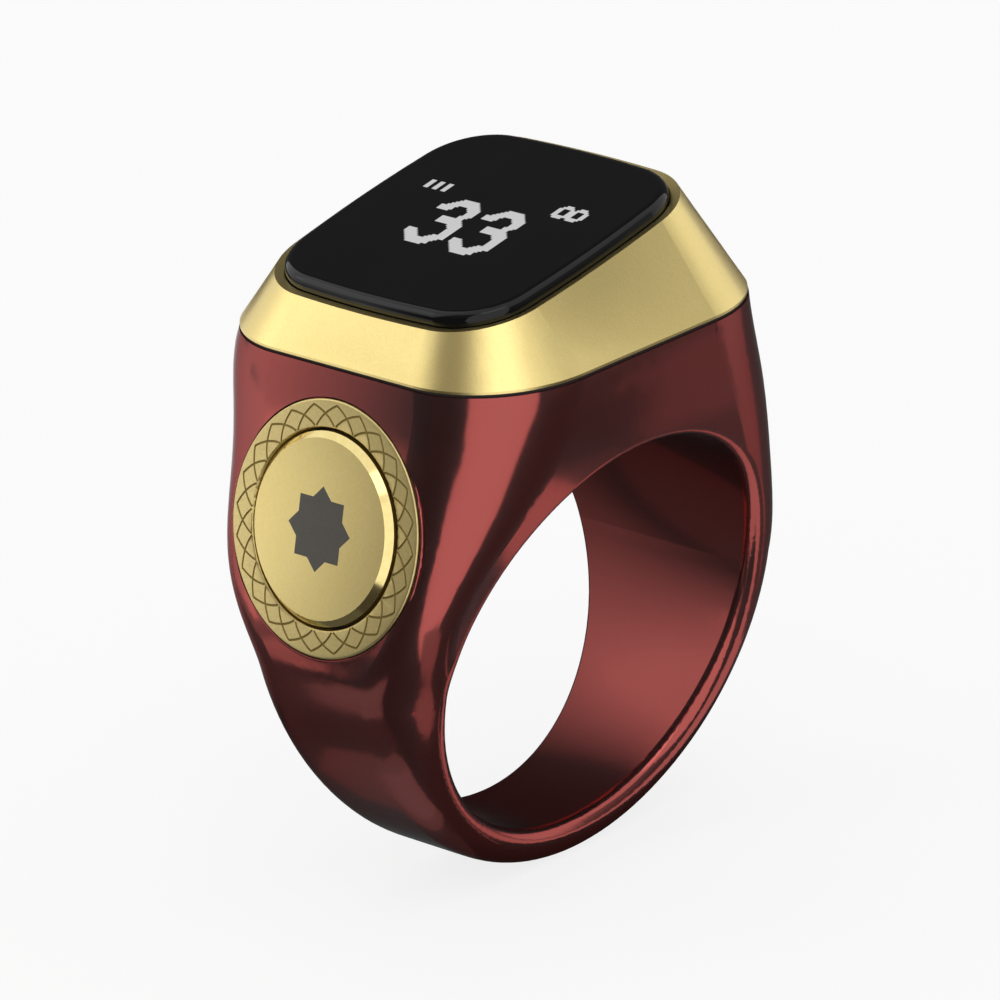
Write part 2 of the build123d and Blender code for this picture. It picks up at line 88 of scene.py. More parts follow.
def add(tree, kind, inputs=None, **settings):
    """Adds one node with its settings, and sets or links its inputs."""
    made = tree.nodes.new(kind)
    for name, value in settings.items():
        setattr(made, name, value)
    for socket, value in (inputs or {}).items():
        if isinstance(value, bpy.types.NodeSocket):
            tree.links.new(value, made.inputs[socket])
        else:
            made.inputs[socket].default_value = value
    return made


def new_material(name):
    """An empty node material and its tree."""
    made = bpy.data.materials.new(name)
    made.use_nodes = True
    made.node_tree.nodes.clear()
    return made, made.node_tree


def grained(name, light, dark, grain, roughness, bump=0.0, pattern="ShaderNodeTexNoise", detail=None,
            **sockets):
    """A surface whose pattern, of that grain in mm, shifts its colour, gloss and height (bump in mm)."""
    made, tree = new_material(name)
    place = add(tree, "ShaderNodeTexCoord").outputs["Object"]
    texture = add(tree, pattern, {"Vector": place, "Scale": 1 / (grain * MM)}, **(detail or {}))
    height = next(o for o in texture.outputs if o.name in ("Fac", "Distance"))
    colour = add(tree, "ShaderNodeMix", {
        "Factor": height, COLOUR_A: linear(light), COLOUR_B: linear(dark)}, data_type="RGBA")
    gloss = add(tree, "ShaderNodeMapRange", {
        "Value": height, "To Min": roughness[0], "To Max": roughness[1]})
    inputs = {"Base Color": colour.outputs[COLOUR_RESULT], "Roughness": gloss.outputs["Result"], **sockets}
    if bump:
        relief = add(tree, "ShaderNodeBump", {"Height": height, "Distance": bump * MM, "Strength": 1.0})
        inputs["Normal"] = relief.outputs["Normal"]
    surface = add(tree, "ShaderNodeBsdfPrincipled", inputs).outputs["BSDF"]
    add(tree, "ShaderNodeOutputMaterial", {"Surface": surface})
    return made


# Sizes of the patterns on the four main finishes, in mm
PLATING_CLOUD = 6.0
WIPE_WIDTH = 0.25
PEEL_WIDTH, PEEL_HEIGHT = 0.9, 0.0025
GRIT_WIDTH, GRIT_HEIGHT = 0.11, 0.004
GOLD_CLOUD = 3.5
SMEAR_WIDTH = 4.0
DOT = 0.14


def burgundy_plating():
    """Zinc alloy, polished, vapour plated burgundy and lacquered: mirror gloss under a thin haze, a hint of
    orange peel, faint wipe marks."""
    made, tree = new_material("vapour_plated_burgundy_zinc")
    place = add(tree, "ShaderNodeTexCoord").outputs["Object"]
    tone = add(tree, "ShaderNodeTexNoise", {
        "Vector": place, "Scale": 1 / (PLATING_CLOUD * MM), "Detail": 2.0})
    colour = add(tree, "ShaderNodeMix", {
        "Factor": tone.outputs["Fac"], COLOUR_A: linear("#a44a45"), COLOUR_B: linear("#9e4641")},
        data_type="RGBA")
    drawn = add(tree, "ShaderNodeMapping", {"Vector": place, "Scale": (1.0, 0.12, 1.0)})
    wipes = add(tree, "ShaderNodeTexNoise", {
        "Vector": drawn.outputs["Vector"], "Scale": 1 / (WIPE_WIDTH * MM), "Detail": 4.0})
    gloss = add(tree, "ShaderNodeMapRange", {"Value": wipes.outputs["Fac"], "To Min": 0.1, "To Max": 0.16})
    peel = add(tree, "ShaderNodeTexNoise", {"Vector": place, "Scale": 1 / (PEEL_WIDTH * MM), "Detail": 1.0})
    relief = add(tree, "ShaderNodeBump", {
        "Height": peel.outputs["Fac"], "Distance": PEEL_HEIGHT * MM, "Strength": 1.0})
    surface = add(tree, "ShaderNodeBsdfPrincipled", {
        "Base Color": colour.outputs[COLOUR_RESULT], "Metallic": 1.0, "Roughness": gloss.outputs["Result"],
        "Specular Tint": linear("#a8989a"), "Normal": relief.outputs["Normal"],
        "Coat Weight": 0.65, "Coat Roughness": 0.45})
    add(tree, "ShaderNodeOutputMaterial", {"Surface": surface.outputs["BSDF"]})
    return made


def satin_gold():
    """Brass, bead blasted and plated champagne gold: a soft sheen with a fine sparkle of blasted grain.
    The grit is finer than 0.05 mm, and is drawn at 0.11 mm so that it shows."""
    made, tree = new_material("bead_blasted_champagne_gold")
    place = add(tree, "ShaderNodeTexCoord").outputs["Object"]
    grit = add(tree, "ShaderNodeTexNoise", {"Vector": place, "Scale": 1 / (GRIT_WIDTH * MM), "Detail": 3.0})
    cloud = add(tree, "ShaderNodeTexNoise", {"Vector": place, "Scale": 1 / (GOLD_CLOUD * MM), "Detail": 2.0})
    mixed = add(tree, "ShaderNodeMix", {
        "Factor": 0.7, NUMBER_A: cloud.outputs["Fac"], NUMBER_B: grit.outputs["Fac"]})
    colour = add(tree, "ShaderNodeMix", {
        "Factor": mixed.outputs[NUMBER_RESULT], COLOUR_A: linear("#f9e59d"), COLOUR_B: linear("#e8cf86")},
        data_type="RGBA")
    gloss = add(tree, "ShaderNodeMapRange", {"Value": grit.outputs["Fac"], "To Min": 0.28, "To Max": 0.36})
    relief = add(tree, "ShaderNodeBump", {
        "Height": grit.outputs["Fac"], "Distance": GRIT_HEIGHT * MM, "Strength": 1.0})
    surface = add(tree, "ShaderNodeBsdfPrincipled", {
        "Base Color": colour.outputs[COLOUR_RESULT], "Metallic": 1.0, "Roughness": gloss.outputs["Result"],
        "Normal": relief.outputs["Normal"]})
    add(tree, "ShaderNodeOutputMaterial", {"Surface": surface.outputs["BSDF"]})
    return made


def cover_glass():
    """Tempered glass printed black behind: deep black, a sharp edge gleam, faint finger smears."""
    made, tree = new_material("black_backed_tempered_glass")
    place = add(tree, "ShaderNodeTexCoord").outputs["Object"]
    smear = add(tree, "ShaderNodeTexNoise", {
        "Vector": place, "Scale": 1 / (SMEAR_WIDTH * MM), "Detail": 3.0})
    colour = add(tree, "ShaderNodeMix", {
        "Factor": smear.outputs["Fac"], COLOUR_A: linear("#111112"), COLOUR_B: linear("#161616")},
        data_type="RGBA")
    gloss = add(tree, "ShaderNodeMapRange", {"Value": smear.outputs["Fac"], "To Min": 0.03, "To Max": 0.1})
    surface = add(tree, "ShaderNodeBsdfPrincipled", {
        "Base Color": colour.outputs[COLOUR_RESULT], "Roughness": gloss.outputs["Result"], "IOR": 1.51,
        "Specular IOR Level": 0.28})
    add(tree, "ShaderNodeOutputMaterial", {"Surface": surface.outputs["BSDF"]})
    return made


def lit_pixels():
    """Lit dots of the panel: pale grey light with the dark gaps of the dot grid, 0.14 mm apart."""
    made, tree = new_material("lit_display_dots")
    place = add(tree, "ShaderNodeTexCoord").outputs["Object"]
    level = add(tree, "ShaderNodeMapping", {"Vector": place, "Rotation": (0.0, DISPLAY_TILT, 0.0)})
    dots = add(tree, "ShaderNodeTexVoronoi", {
        "Vector": level.outputs["Vector"], "Scale": 1 / (DOT * MM), "Randomness": 0.15})
    glow = add(tree, "ShaderNodeMix", {
        "Factor": dots.outputs["Distance"], COLOUR_A: linear("#e2e2e2"), COLOUR_B: linear("#bcbcbc")},
        data_type="RGBA")
    surface = add(tree, "ShaderNodeBsdfPrincipled", {
        "Base Color": linear("#202020"), "Roughness": 0.3, "Emission Color": glow.outputs[COLOUR_RESULT],
        "Emission Strength": 0.85})
    add(tree, "ShaderNodeOutputMaterial", {"Surface": surface.outputs["BSDF"]})
    return made


METAL = {"Metallic": 1.0}

# Each grained finish gives its name, its light and dark colour, its grain in mm, its least and most
# roughness, and its relief in mm
FINISHES = {
    "plating": burgundy_plating(),
    "gold": satin_gold(),
    "glass": cover_glass(),
    "dots": lit_pixels(),
    # Gold plating buffed to a mirror on the button's bevel: hard bright and dark bands, faint buffing marks
    "bright gold": grained("mirror_buffed_gold", "#fbe9a4", "#ecd48c", 0.3, (0.09, 0.15), 0.0005, **METAL),
    # Gold plating over a coarser blast, on the trim ring: duller than the button, with a grainy sheen.
    # The grit is about 0.08 mm, and is drawn at 0.12 mm so that it shows
    "matt gold": grained("coarse_blasted_gold", "#f0dc98", "#d8c284", 0.12, (0.34, 0.46), 0.004, **METAL),
    # Floor of the engraved lines: darker, duller olive gold than the trim, with specks
    "engraving": grained("darker_engraving_floor", "#b39c5c", "#917e47", 0.08, (0.5, 0.7), 0.002, **METAL),
    # Fired enamel filling: dark olive grey, smooth, with a faint speckle
    "enamel": grained("olive_grey_enamel", "#57534a", "#4a463e", 0.12, (0.32, 0.46), 0.001),
    # Moulded silicone: matt near-black with a powdery bloom
    "rubber": grained("moulded_silicone", "#1b1715", "#2a2522", 0.2, (0.6, 0.8), 0.003),
    # Acrylic foam tape: grey-black and finely pitted
    "tape": grained("acrylic_foam_tape", "#2b2a2a", "#3a3938", 0.15, (0.7, 0.9), 0.004),
    # Optically clear resin: water-clear, seen only as a wet gleam
    "resin": grained("clear_optical_resin", "#f2f4f4", "#e6ecec", 1.5, (0.02, 0.08), **{
        "Transmission Weight": 0.9, "IOR": 1.48}),
    # Display panel glass: blue-black with the faint weave of its wiring
    "panel": grained("display_panel_glass", "#0c1018", "#1a2130", 0.14, (0.08, 0.16), 0.0,
                     "ShaderNodeTexVoronoi"),
    # Polyimide film over copper: amber with fine tracks running across
    "ribbon": grained("polyimide_ribbon_film", "#b56a1c", "#7d4412", 0.5, (0.25, 0.4), 0.004,
                      "ShaderNodeTexWave", detail={"bands_direction": "Y"}),
    # Heat-proof moulded plastic: bone white, faint flow marks
    "connector": grained("liquid_crystal_polymer", "#d9d2bf", "#c6bea8", 0.4, (0.4, 0.55), 0.002),
    # Glass-epoxy board: green mask over the weave of the cloth
    "laminate": grained("glass_epoxy_laminate", "#14502c", "#0c3a1f", 0.3, (0.3, 0.5), 0.004,
                        "ShaderNodeTexVoronoi", detail={"distance": "CHEBYCHEV"}),
    # Moulded epoxy: charcoal with a fine matt stipple
    "chip": grained("epoxy_moulding", "#1d1d1e", "#29292a", 0.08, (0.55, 0.75), 0.003),
    # Fired capacitor ceramic: tan and slightly mottled
    "ceramic": grained("capacitor_ceramic", "#a98a66", "#937452", 0.2, (0.45, 0.6), 0.002),
    # Glazed antenna ceramic: white with a grey cast
    "antenna": grained("glazed_antenna_ceramic", "#e4e2dc", "#cfccc4", 0.5, (0.2, 0.35), 0.001),
    # Stainless steel, drawn: pale grey with hairline streaks
    "steel": grained("drawn_stainless_steel", "#c4c5c7", "#a9abad", 0.1, (0.25, 0.4), 0.001, **METAL),
    # Open-cell urethane foam: dark grey, pitted
    "foam": grained("urethane_foam", "#3b3b3e", "#232325", 0.35, (0.85, 1.0), 0.03,
                    "ShaderNodeTexVoronoi"),
    # Moulded engineering plastic: black with a spark-eroded texture
    "abs": grained("spark_textured_abs", "#161617", "#222224", 0.15, (0.5, 0.68), 0.005),
    # Aluminium pouch film: silver grey, slightly crumpled
    "pouch": grained("aluminium_pouch_film", "#b9bbbd", "#9ea1a4", 1.2, (0.22, 0.36), 0.02, **METAL),
    # Hard gold flash on brass: warm yellow, wiped bright
    "contact": grained("gold_flashed_brass", "#e5b653", "#cf9d3c", 0.2, (0.15, 0.28), 0.001, **METAL),
    # Acetal: milky white and waxy
    "acetal": grained("acetal", "#e9e7e1", "#dad7cf", 0.5, (0.35, 0.5), 0.001, **{
        "Subsurface Weight": 0.1}),
}

# The CAD nodes that take each finish
NODE_FINISHES = {
    "plating": ["ring_body"],
    "gold": ["display_bezel", "button_disc"],
    "matt gold": ["trim_ring"],
    "glass": ["display_glass"],
    "enamel": ["button_inlay"],
    "rubber": ["bezel_gasket", "return_ring"],
    "tape": ["glass_adhesive", "trim_adhesive"],
    "resin": ["optical_adhesive"],
    "panel": ["oled_panel"],
    "ribbon": ["display_ribbon", "charge_ribbon", "switch_ribbon"],
    "connector": ["display_connector"],
    "laminate": ["main_board", "protection_board"],
    "chip": ["controller_chip"],
    "ceramic": ["board_components"],
    "antenna": ["chip_antenna"],
    "steel": ["board_screws", "vibration_motor", "crystal", "switch_dome"],
    "foam": ["battery_pad", "motor_pad"],
    "abs": ["battery_tray", "switch_base", "contact_insulators", "button_actuator"],
    "pouch": ["battery_cell"],
    "contact": ["charge_contacts", "battery_tabs", "battery_pins"],
    "acetal": ["switch_plunger"],
}


def dress(piece, *finishes):
    """Gives a piece these finishes, in the order of its material slots."""
    piece.data.materials.clear()
    for finish in finishes:
        piece.data.materials.append(FINISHES[finish])


for finish_name, node_names in NODE_FINISHES.items():
    for node_name in node_names:
        dress(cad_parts[node_name], finish_name)


# Points of a mesh that lie this near are one point, and edges that turn less than this are shaded smooth
MERGE_DISTANCE = 0.0005 * MM
SMOOTH_ANGLE = math.radians(30)


def pick(*pieces):
    """Selects these pieces alone, the first one active."""
    bpy.ops.object.select_all(action="DESELECT")
    for piece in pieces:
        piece.select_set(True)
    bpy.context.view_layer.objects.active = pieces[0]


def settle(piece, place):
    """Puts a piece modelled about the origin in its place, with that place in its mesh."""
    pick(piece)
    piece.matrix_world = place
    bpy.ops.object.transform_apply(location=True, rotation=True, scale=True)


def copy_of(node, name):
    """A copy of a CAD solid's skin, joined into one closed mesh."""
    made = bpy.data.objects.new(name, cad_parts[node].data.copy())
    bpy.context.scene.collection.objects.link(made)
    pick(made)
    bpy.ops.object.mode_set(mode="EDIT")
    bpy.ops.mesh.select_all(action="SELECT")
    bpy.ops.mesh.remove_doubles(threshold=MERGE_DISTANCE)
    bpy.ops.object.mode_set(mode="OBJECT")
    bpy.ops.mesh.customdata_custom_splitnormals_clear()
    return made


def frame_at(right, up, out, origin):
    """The matrix that lays x, y and z along three directions at a point."""
    return Matrix.Translation(origin) @ Matrix((right, up, out)).transposed().to_4x4()


# Engraved lattice on the trim ring: pointed arches that overlap by half, cut by a round graver
ARCH_COUNT = 24
ARCH_PEAK_RADIUS = 5.72 * MM
ARCH_FOOT_RADIUS = 4.74 * MM
ARCH_BULGE = 0.12 * MM
GRAVER_RADIUS = 0.062 * MM
GRAVER_LEVEL = 0.115 * MM
GRAVER_RUNS = 8
TRIM_PLACE = frame_at(BUTTON_UP, BUTTON_ACROSS, BUTTON_OUT, BUTTON_CENTRE)

# An arch line's bend and foot, in shares of the step between two peaks, and how far its handles reach
# towards the bend
BEND_STEP = 0.62
FOOT_STEP = 0.96
HANDLE_REACH = 0.66


def graver_spot(radius, angle):
    """A spot on the graver's way round the trim ring."""
    return Vector((radius * math.cos(angle), radius * math.sin(angle), GRAVER_LEVEL))


def graver_path(side):
    """One arch line as a round bar, from a peak at the rim to a foot one step to the side."""
    step = side * math.tau / ARCH_COUNT
    peak = graver_spot(ARCH_PEAK_RADIUS, 0.0)
    bend = graver_spot((ARCH_PEAK_RADIUS + ARCH_FOOT_RADIUS) / 2 + ARCH_BULGE, step * BEND_STEP)
    foot = graver_spot(ARCH_FOOT_RADIUS, step * FOOT_STEP)
    bpy.ops.object.select_all(action="DESELECT")
    bpy.ops.curve.primitive_bezier_curve_add()
    line = bpy.context.object
    start, end = line.data.splines[0].bezier_points
    for point, spot in ((start, peak), (end, foot)):
        point.handle_left_type = point.handle_right_type = "FREE"
        point.co = spot
        point.handle_left = point.handle_right = spot + (bend - spot) * HANDLE_REACH
    line.data.resolution_u = GRAVER_RUNS
    line.data.bevel_depth = GRAVER_RADIUS
    line.data.bevel_resolution = 1
    line.data.use_fill_caps = True
    bpy.ops.object.convert(target="MESH")
    bpy.ops.object.mode_set(mode="EDIT")
    bpy.ops.mesh.select_all(action="SELECT")
    bpy.ops.mesh.remove_doubles(threshold=MERGE_DISTANCE)
    bpy.ops.mesh.normals_make_consistent(inside=False)
    bpy.ops.object.mode_set(mode="OBJECT")
    return bpy.context.object


def graver_set(side):
    """All arch lines that lean to one side, as one cutter."""
    bars = [graver_path(side)]
    for i in range(1, ARCH_COUNT):
        pick(bars[0])
        bpy.ops.object.duplicate()
        bars.append(bpy.context.object)
        bars[i].rotation_euler.z = i * math.tau / ARCH_COUNT
    pick(*bars)
    bpy.ops.object.transform_apply(location=True, rotation=True, scale=True)
    bpy.ops.object.join()
    cutter = bpy.context.object
    dress(cutter, "engraving")
    settle(cutter, TRIM_PLACE)
    return cutter


def engraved_trim():
    """The trim ring, with its lattice of lines cut in."""
    trim = copy_of("trim_ring", "engraved_trim_ring")
    dress(trim, "matt gold", "engraving")
    for side in (-1, 1):
        cutter = graver_set(side)
        pick(trim)
        cut = trim.modifiers.new("engraved lines", "BOOLEAN")
        cut.operation = "DIFFERENCE"
        cut.solver = "EXACT"
        cut.material_mode = "TRANSFER"
        cut.object = cutter
        bpy.ops.object.modifier_apply(modifier=cut.name)
        bpy.data.objects.remove(cutter)
    pick(trim)
    bpy.ops.object.shade_smooth_by_angle(angle=SMOOTH_ANGLE)
    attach(trim, "ring")
    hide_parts("trim_ring")


# How far the bevel's faces lean from the button's outward way, as cosines
BEVEL_LEANS = (0.3, 0.95)


def buffed_button():
    """The push button, with its bevel brighter than its satin face."""
    button = copy_of("button_disc", "buffed_edge_button")
    dress(button, "gold", "bright gold")
    for face in button.data.polygons:
        face.material_index = int(BEVEL_LEANS[0] < face.normal.dot(BUTTON_OUT) < BEVEL_LEANS[1])
    bpy.ops.object.shade_smooth_by_angle(angle=SMOOTH_ANGLE)
    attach(button, "button")
    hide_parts("button_disc")


# Lit figures on the display, drawn in dots from their lower left corner
DIGIT_THREE = [(6, 29), (13, 29), (17, 25), (17, 20), (15, 18), (18, 15), (18, 6), (12, 0), (6, 0), (0, 6),
               (0, 8), (4, 8), (8, 4), (10, 4), (14, 8), (14, 12), (12, 14), (6, 14), (6, 18), (11, 18),
               (13, 20), (13, 23), (11, 25), (8, 25), (4, 21), (0, 21), (0, 23)]
BAR = [(0, 0), (2, 0), (2, 5), (0, 5)]
LOOP = [(0, 2), (2, 0), (5, 0), (7, 2), (7, 6), (5, 8), (2, 8), (0, 6)]
LOOP_HOLE = [(2, 2.4), (2.4, 2), (4.6, 2), (5, 2.4), (5, 5.6), (4.6, 6), (2.4, 6), (2, 5.6)]

# How deep the dots go into the glass, and how far they stand out of it
DOT_PLATE_DEPTH = 0.02 * MM
DOT_PLATE_PROUD = 0.008 * MM

# Each figure: its outline, its hole, and its lower left corner in mm, right and up from the glass's middle
FIGURES = [
    (DIGIT_THREE, None, (-2.75, -2.65)),
    (DIGIT_THREE, None, (0.12, -2.63)),
    (BAR, None, (-4.88, 1.6)),
    (BAR, None, (-4.32, 1.6)),
    (BAR, None, (-3.76, 1.6)),
    (LOOP, LOOP_HOLE, (3.1, 1.75)),
    (LOOP, LOOP_HOLE, (3.96, 1.75)),
]


def inside(outline, x, y):
    """Whether a point lies within a closed outline."""
    hits = 0
    for (x0, y0), (x1, y1) in zip(outline, outline[1:] + outline[:1]):
        if (y0 > y) != (y1 > y) and x < x0 + (y - y0) * (x1 - x0) / (y1 - y0):
            hits += 1
    return hits % 2 == 1


def figure(outline, hole, corner):
    """One lit figure: a sheet of dots, cut to its outline and thickened."""
    columns = math.ceil(max(x for x, y in outline))
    rows = math.ceil(max(y for x, y in outline))
    bpy.ops.object.select_all(action="DESELECT")
    bpy.ops.mesh.primitive_grid_add(x_subdivisions=columns, y_subdivisions=rows, size=1)
    made = bpy.context.object
    width, height = columns * DOT * MM, rows * DOT * MM
    made.scale = (width, height, 1)
    made.location = (width / 2, height / 2, -DOT_PLATE_DEPTH)
    bpy.ops.object.transform_apply(location=True, rotation=True, scale=True)
    bpy.context.tool_settings.mesh_select_mode = (False, False, True)
    for face in made.data.polygons:
        x, y = face.center.x / (DOT * MM), face.center.y / (DOT * MM)
        face.select = not inside(outline, x, y) or bool(hole and inside(hole, x, y))
    bpy.ops.object.mode_set(mode="EDIT")
    bpy.ops.mesh.delete(type="FACE")
    bpy.ops.mesh.select_all(action="SELECT")
    thickness = (0, 0, DOT_PLATE_DEPTH + DOT_PLATE_PROUD)
    bpy.ops.mesh.extrude_region_move(TRANSFORM_OT_translate={"value": thickness})
    bpy.ops.mesh.select_all(action="SELECT")
    bpy.ops.mesh.normals_make_consistent(inside=False)
    bpy.ops.object.mode_set(mode="OBJECT")
    corner_spot = DISPLAY_CENTRE + (WRITING_RIGHT * corner[0] + WRITING_UP * corner[1]) * MM
    settle(made, frame_at(WRITING_RIGHT, WRITING_UP, DISPLAY_OUT, corner_spot))
    return made


def lit_figures():
    """All lit figures, as one piece on the glass."""
    made = [figure(*f) for f in FIGURES]
    pick(*made)
    bpy.ops.object.join()
    whole = bpy.context.object
    whole.name = "lit_figures"
    dress(whole, "dots")
    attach(whole, "ring")


def squeezed(node, name, finish):
    """A springy piece: a copy of its CAD node with its finish, shaded smooth and set on the ring in place of
    the node.
    """
    made = copy_of(node, name)
    dress(made, finish)
    bpy.ops.object.shade_smooth_by_angle(angle=SMOOTH_ANGLE)
    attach(made, "ring")
    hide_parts(node)
    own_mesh(made)


engraved_trim()
buffed_button()
lit_figures()
squeezed("return_ring", "silicone_return_ring", "rubber")
squeezed("switch_dome", "snap_dome", "steel")


# Studio: a white floor and surround, soft boxes, and glowing cards that only reflections see, which paint
# reflected light and shade onto the metal and glass

FLOOR_LEVEL = cad_low.z
FLOOR_SIZE = 6.0
FLOOR_GLOW = 0.82
SURROUND_LIGHT = 0.6

# Soft boxes: name, bearing and height in degrees, distance and sides in metres, power in watts
SOFT_BOXES = [
    ("key_soft_box", -36.0, 58.0, 0.8, (0.4, 0.3), 0.32),
    ("side_soft_box", -148.0, 31.0, 0.8, (0.4, 0.4), 0.28),
]

# The rays that pass through a card, its step above the card below it, and how far off the cards stand
CARD_RAYS_OFF = ("camera", "diffuse", "shadow", "transmission", "volume_scatter")
CARD_STEP = 0.05 * MM
WALL_DISTANCE = 0.9
NEAR_DISTANCE = 0.024

# Glow of the cards that stand for lamps of the photograph
WINDOW_GLOW = 1.14
NEAR_GLOW = 1.4

# Cards that lie on the floor: name, shade, layer, corners in mm, and a glow other than 1
FLOOR_CARDS = [
    ("left_floor_card", "#443f3d", 1, [
        (-17, -14), (-95, -38), (-900, -281), (-900, 656), (-65, 45), (-35, 22), (-8, 0), (-8, -12)]),
    ("window_floor_card", "#ffffff", 1, [
        (-16, -18), (-17, -14), (-95, -38), (-900, -281), (-900, -900), (-122, -900)], WINDOW_GLOW),
    ("front_floor_card", "#524e4c", 1, [
        (-16, -18), (-122, -900), (669, -900), (80, -95), (40, -50), (20, -18)]),
    ("turning_floor_card", "#8e8a8a", 1, [
        (20, -18), (40, -50), (80, -95), (669, -900), (881, -900), (48, -40), (30, -18)]),
    ("right_floor_card", "#bcbcbc", 1, [
        (30, -18), (48, -40), (300, -300), (400, -60), (38, -8), (22, -4)]),
    ("far_right_floor_card", "#6c6866", 1, [
        (22, -4), (38, -8), (400, -60), (400, 100), (14, 40), (12, 8)]),
    ("back_floor_card", "#a2a2a2", 1, [
        (-32, 48), (-22, 47), (-32, 150), (-120, 800), (-900, 656), (-65, 45), (-42, 30)]),
    ("back_right_floor_card", "#4a4644", 1, [
        (14, 40), (400, 100), (300, 800), (-120, 800), (-32, 150), (-22, 47)]),
    ("near_left_card", "#5a6060", 2, [
        (-18, -5), (-24, 8), (-24, 12), (-6, 14), (0, 6), (-8, -5)]),
    ("near_back_card", "#5c5856", 2, [
        (-24, 12), (-42, 30), (-32, 48), (14, 40), (12, 8), (0, 6), (-6, 14)]),
    ("near_front_card", "#4c4846", 2, [
        (-19, -16), (-16, -18.5), (-4, -18.5), (-3, -4), (-12, -4)]),
    ("near_middle_card", "#443f3d", 2, [
        (-4, -18.5), (9, -18.5), (8, -13), (3, -12), (-3, -12)]),
    ("near_inner_card", "#8c8886", 2, [
        (-3, -12), (-1, -11.5), (0, -6), (-3, -6)]),
    ("stripe_foot_card", "#b0b0b0", 3, [
        (-30, -22), (-18, -14.5), (-15, -13), (-10.8, -13.2), (-9.5, -16), (-11, -20), (-20, -26)]),
    ("near_right_card", "#f4f4f4", 2, [
        (9, -21), (14, -21), (18, -10), (22, -4), (14, -6), (0, -6), (-1, -11.5), (3, -12), (8, -13),
        (9, -18)]),
    ("near_far_card", "#6c6866", 2, [
        (14, -21), (30, -18), (22, -4), (18, -10)]),
    # Painted shadow: a dark card under the ring that puts the ring's contact shadow on the floor into its
    # reflections
    ("under_card", "#443f3d", 2, [
        (-8, -5), (-3, -4), (-3, -6), (14, -6), (22, -4), (12, 8), (0, 6)]),
    # Painted light and shade: cards that put a light fold under the button, and the shade above and below it,
    # into the plating's reflection; the pale ones are cool grey to take red out of it
    ("fold_shade_card", "#322c29", 4, [
        (-31, 17.8), (-36, 17), (-48, 24), (-72, 44), (-72, 53), (-50, 36), (-41, 29), (-38, 25.5), (-34, 22),
        (-30, 20)]),
    ("fold_light_card", "#e2ecec", 4, [
        (-33, 23), (-34, 22), (-38, 25.5), (-41, 29), (-50, 36), (-52, 41), (-44, 37.5), (-38, 31),
        (-34, 26)]),
    ("lower_fold_card", "#9ab4b6", 4, [
        (-31, 1), (-31, 17.8), (-25, 16.6), (-22, 13.8), (-21.6, 11.6), (-25, 4.5), (-26, -2.5),
        (-28.5, -3)]),
    ("lower_gap_card", "#565553", 4, [
        (-25, 4.5), (-21.6, 11.6), (-19, 13.5), (-16.5, 12), (-14.8, 9), (-16.8, 4), (-18.8, -3.5), (-19, -6),
        (-26, -2.5)]),
    ("foot_left_card", "#889a98", 4, [
        (-18.8, -3.5), (-16.8, 4), (-14.8, 9), (-11.5, 8.5), (-9.5, 5.5), (-9, -5.5), (-15, -6),
        (-17, -5.5)]),
    ("foot_inner_card", "#98aeb0", 5, [
        (-15.8, -5.5), (-15.8, 0.5), (-13.6, 5.2), (-11, 3.8), (-10, -5.5)]),
]

# Curved cards far off: name, shades from left to right, bearings, heights, and a glow other than 1
WALL_CARDS = [
    ("left_wall_card", ["#3c3836"], (-122, -74), (-2, 38)),
    ("left_upper_card", ["#747070"], (-122, -74), (38, 60)),
    ("window_card", ["#ffffff"], (-74, -8), (-2, 40), WINDOW_GLOW),
    ("left_back_card", ["#ededed"], (-185, -122), (-2, 14)),
    ("front_lower_card", ["#4a4644", "#7c7876"], (-8, 38), (-2, 16)),
    ("front_wall_card", ["#6c6866", "#949494"], (-8, 38), (16, 40)),
    ("front_turn_card", ["#949494", "#ffffff"], (38, 54), (-2, 40)),
    ("back_sky_card", ["#555555"], (94, 165), (-2, 80)),
]

# Curved cards close round the button, in the same order
NEAR_CARDS = [
    ("near_upper_card", ["#e0e0e0", "#302c2a"], (-144, -126), (11, 40)),
    ("near_upper_dark_card", ["#302c2a"], (-126, -100), (11, 40)),
    ("near_lower_card", ["#e8e8e8", "#fafafa"], (-170, -144), (-20, 11)),
    ("near_turn_card", ["#ffffff", "#504c4a"], (-144, -120), (-20, 11), NEAR_GLOW),
    ("near_lower_dark_card", ["#443f3d"], (-120, -100), (-20, 11)),
]

# Card behind the finger hole, in mm, and how its shade runs across it and up it, in shares of the card
HOLE_CARD_LEFT, HOLE_CARD_WIDTH, HOLE_CARD_BACK, HOLE_CARD_HEIGHT = -14, 34, 16, 26
HOLE_CARD_SHADES = ["#423e3b", "#f0f0f0"]
HOLE_CARD_RAMPS = (("X", 0.66, 0.33), ("Y", 0.06, 0.68))


def seen_white(tree, plain, backdrop):
    """The backdrop where the camera or a reflection looks, the plain finish elsewhere."""
    path = add(tree, "ShaderNodeLightPath")
    seen = path.outputs["Is Camera Ray"]
    for ray in ("Is Glossy Ray", "Is Transmission Ray"):
        seen = add(tree, "ShaderNodeMath", {0: seen, 1: path.outputs[ray]}, operation="MAXIMUM").outputs[0]
    return add(tree, "ShaderNodeMixShader", {0: seen, 1: plain, 2: backdrop}).outputs[0]


